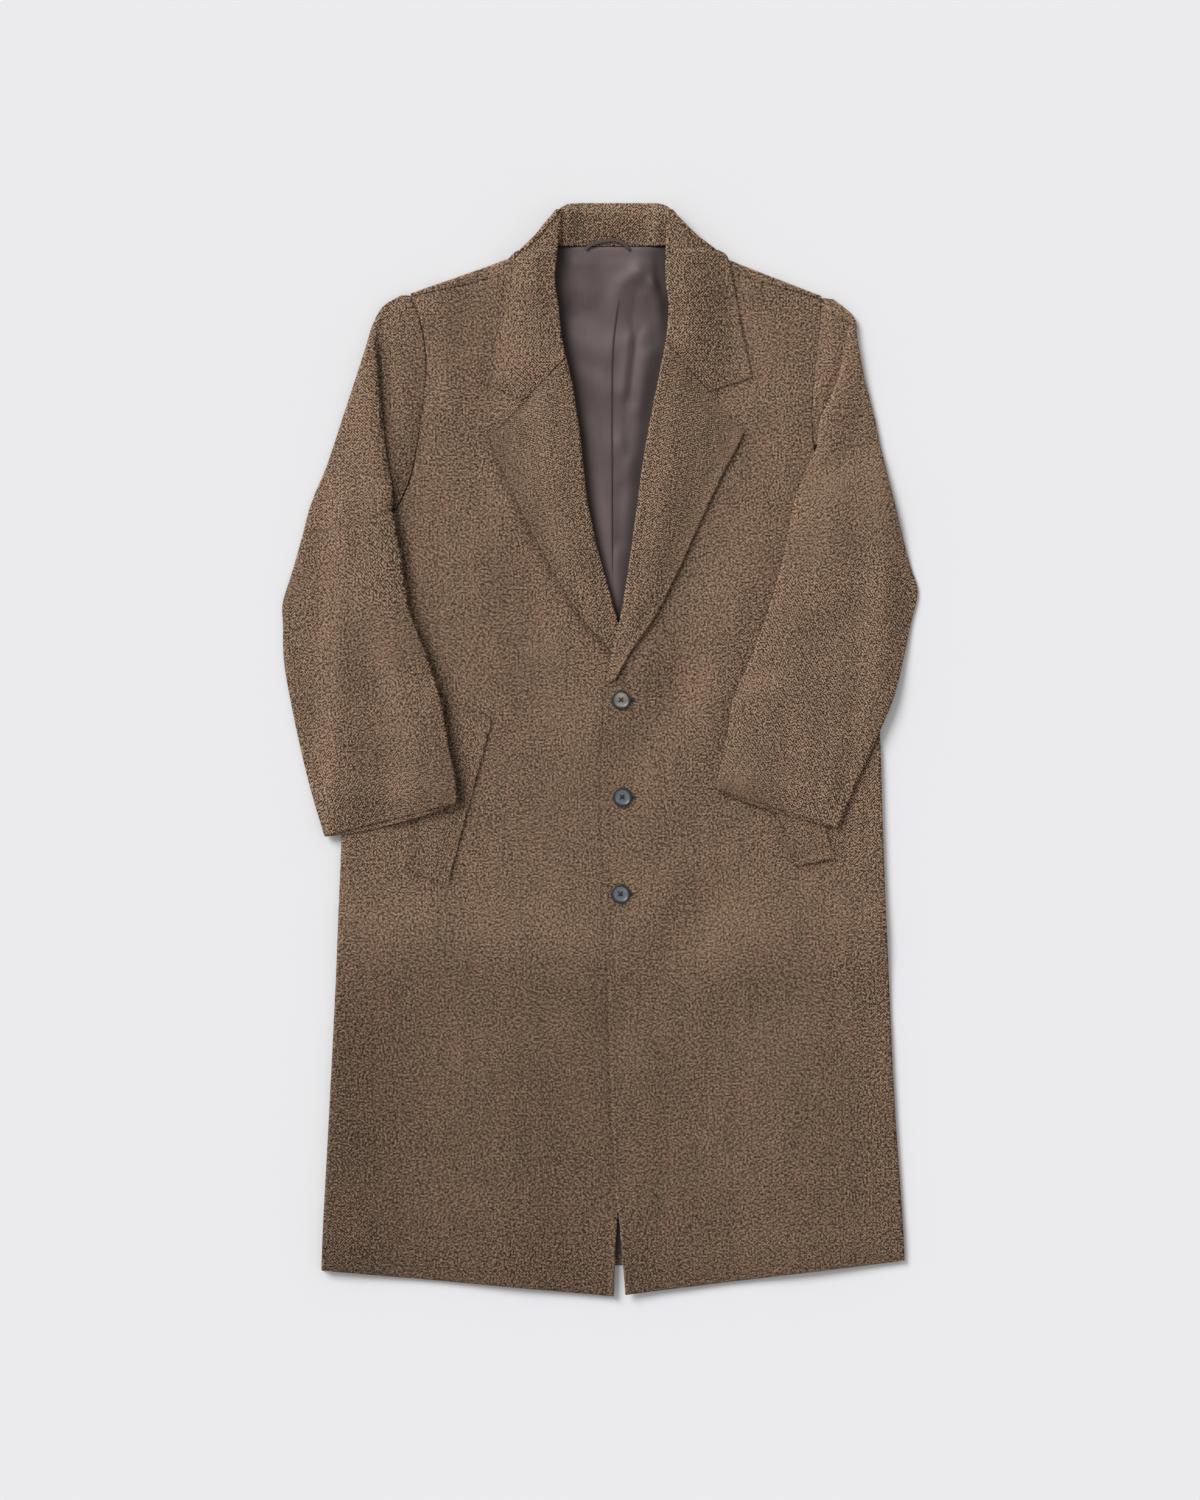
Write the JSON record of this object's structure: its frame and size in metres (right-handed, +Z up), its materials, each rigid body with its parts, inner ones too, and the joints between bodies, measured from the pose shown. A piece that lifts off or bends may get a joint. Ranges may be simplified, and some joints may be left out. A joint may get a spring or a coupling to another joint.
{
  "type": "overcoat",
  "caption": "Long single-breasted wool overcoat with notched lapels, welt pockets and buttons, laid flat on its back with the sleeves folded over the fronts.",
  "frame": {"origin": "on the floor, under the middle of the coat's bounding box", "axes": "+Z up from the floor, +Y towards the collar, +X to the right of someone who looks down at the coat with the collar away from them"},
  "size_m": [0.7301, 1.256, 0.0148],
  "materials": {
    "coating": "matt woven wool coating, brown and taupe mixed yarns",
    "lining": "smooth satin lining, mauve taupe",
    "horn": "dark polished horn-like resin"
  },
  "bodies": {
    "root": {"back_left": "coating", "back_right": "coating", "back_lining": "lining", "front_left": "coating", "front_right": "coating", "lapel_left": "coating", "lapel_right": "coating", "collar": "coating", "sleeve_top_left": "coating", "sleeve_under_left": "coating", "sleeve_top_right": "coating", "sleeve_under_right": "coating", "pocket_welt_left": "coating", "pocket_welt_right": "coating", "hanger_loop": "lining", "button_top": "horn", "button_middle": "horn", "button_bottom": "horn"}
  },
  "joints": []
}
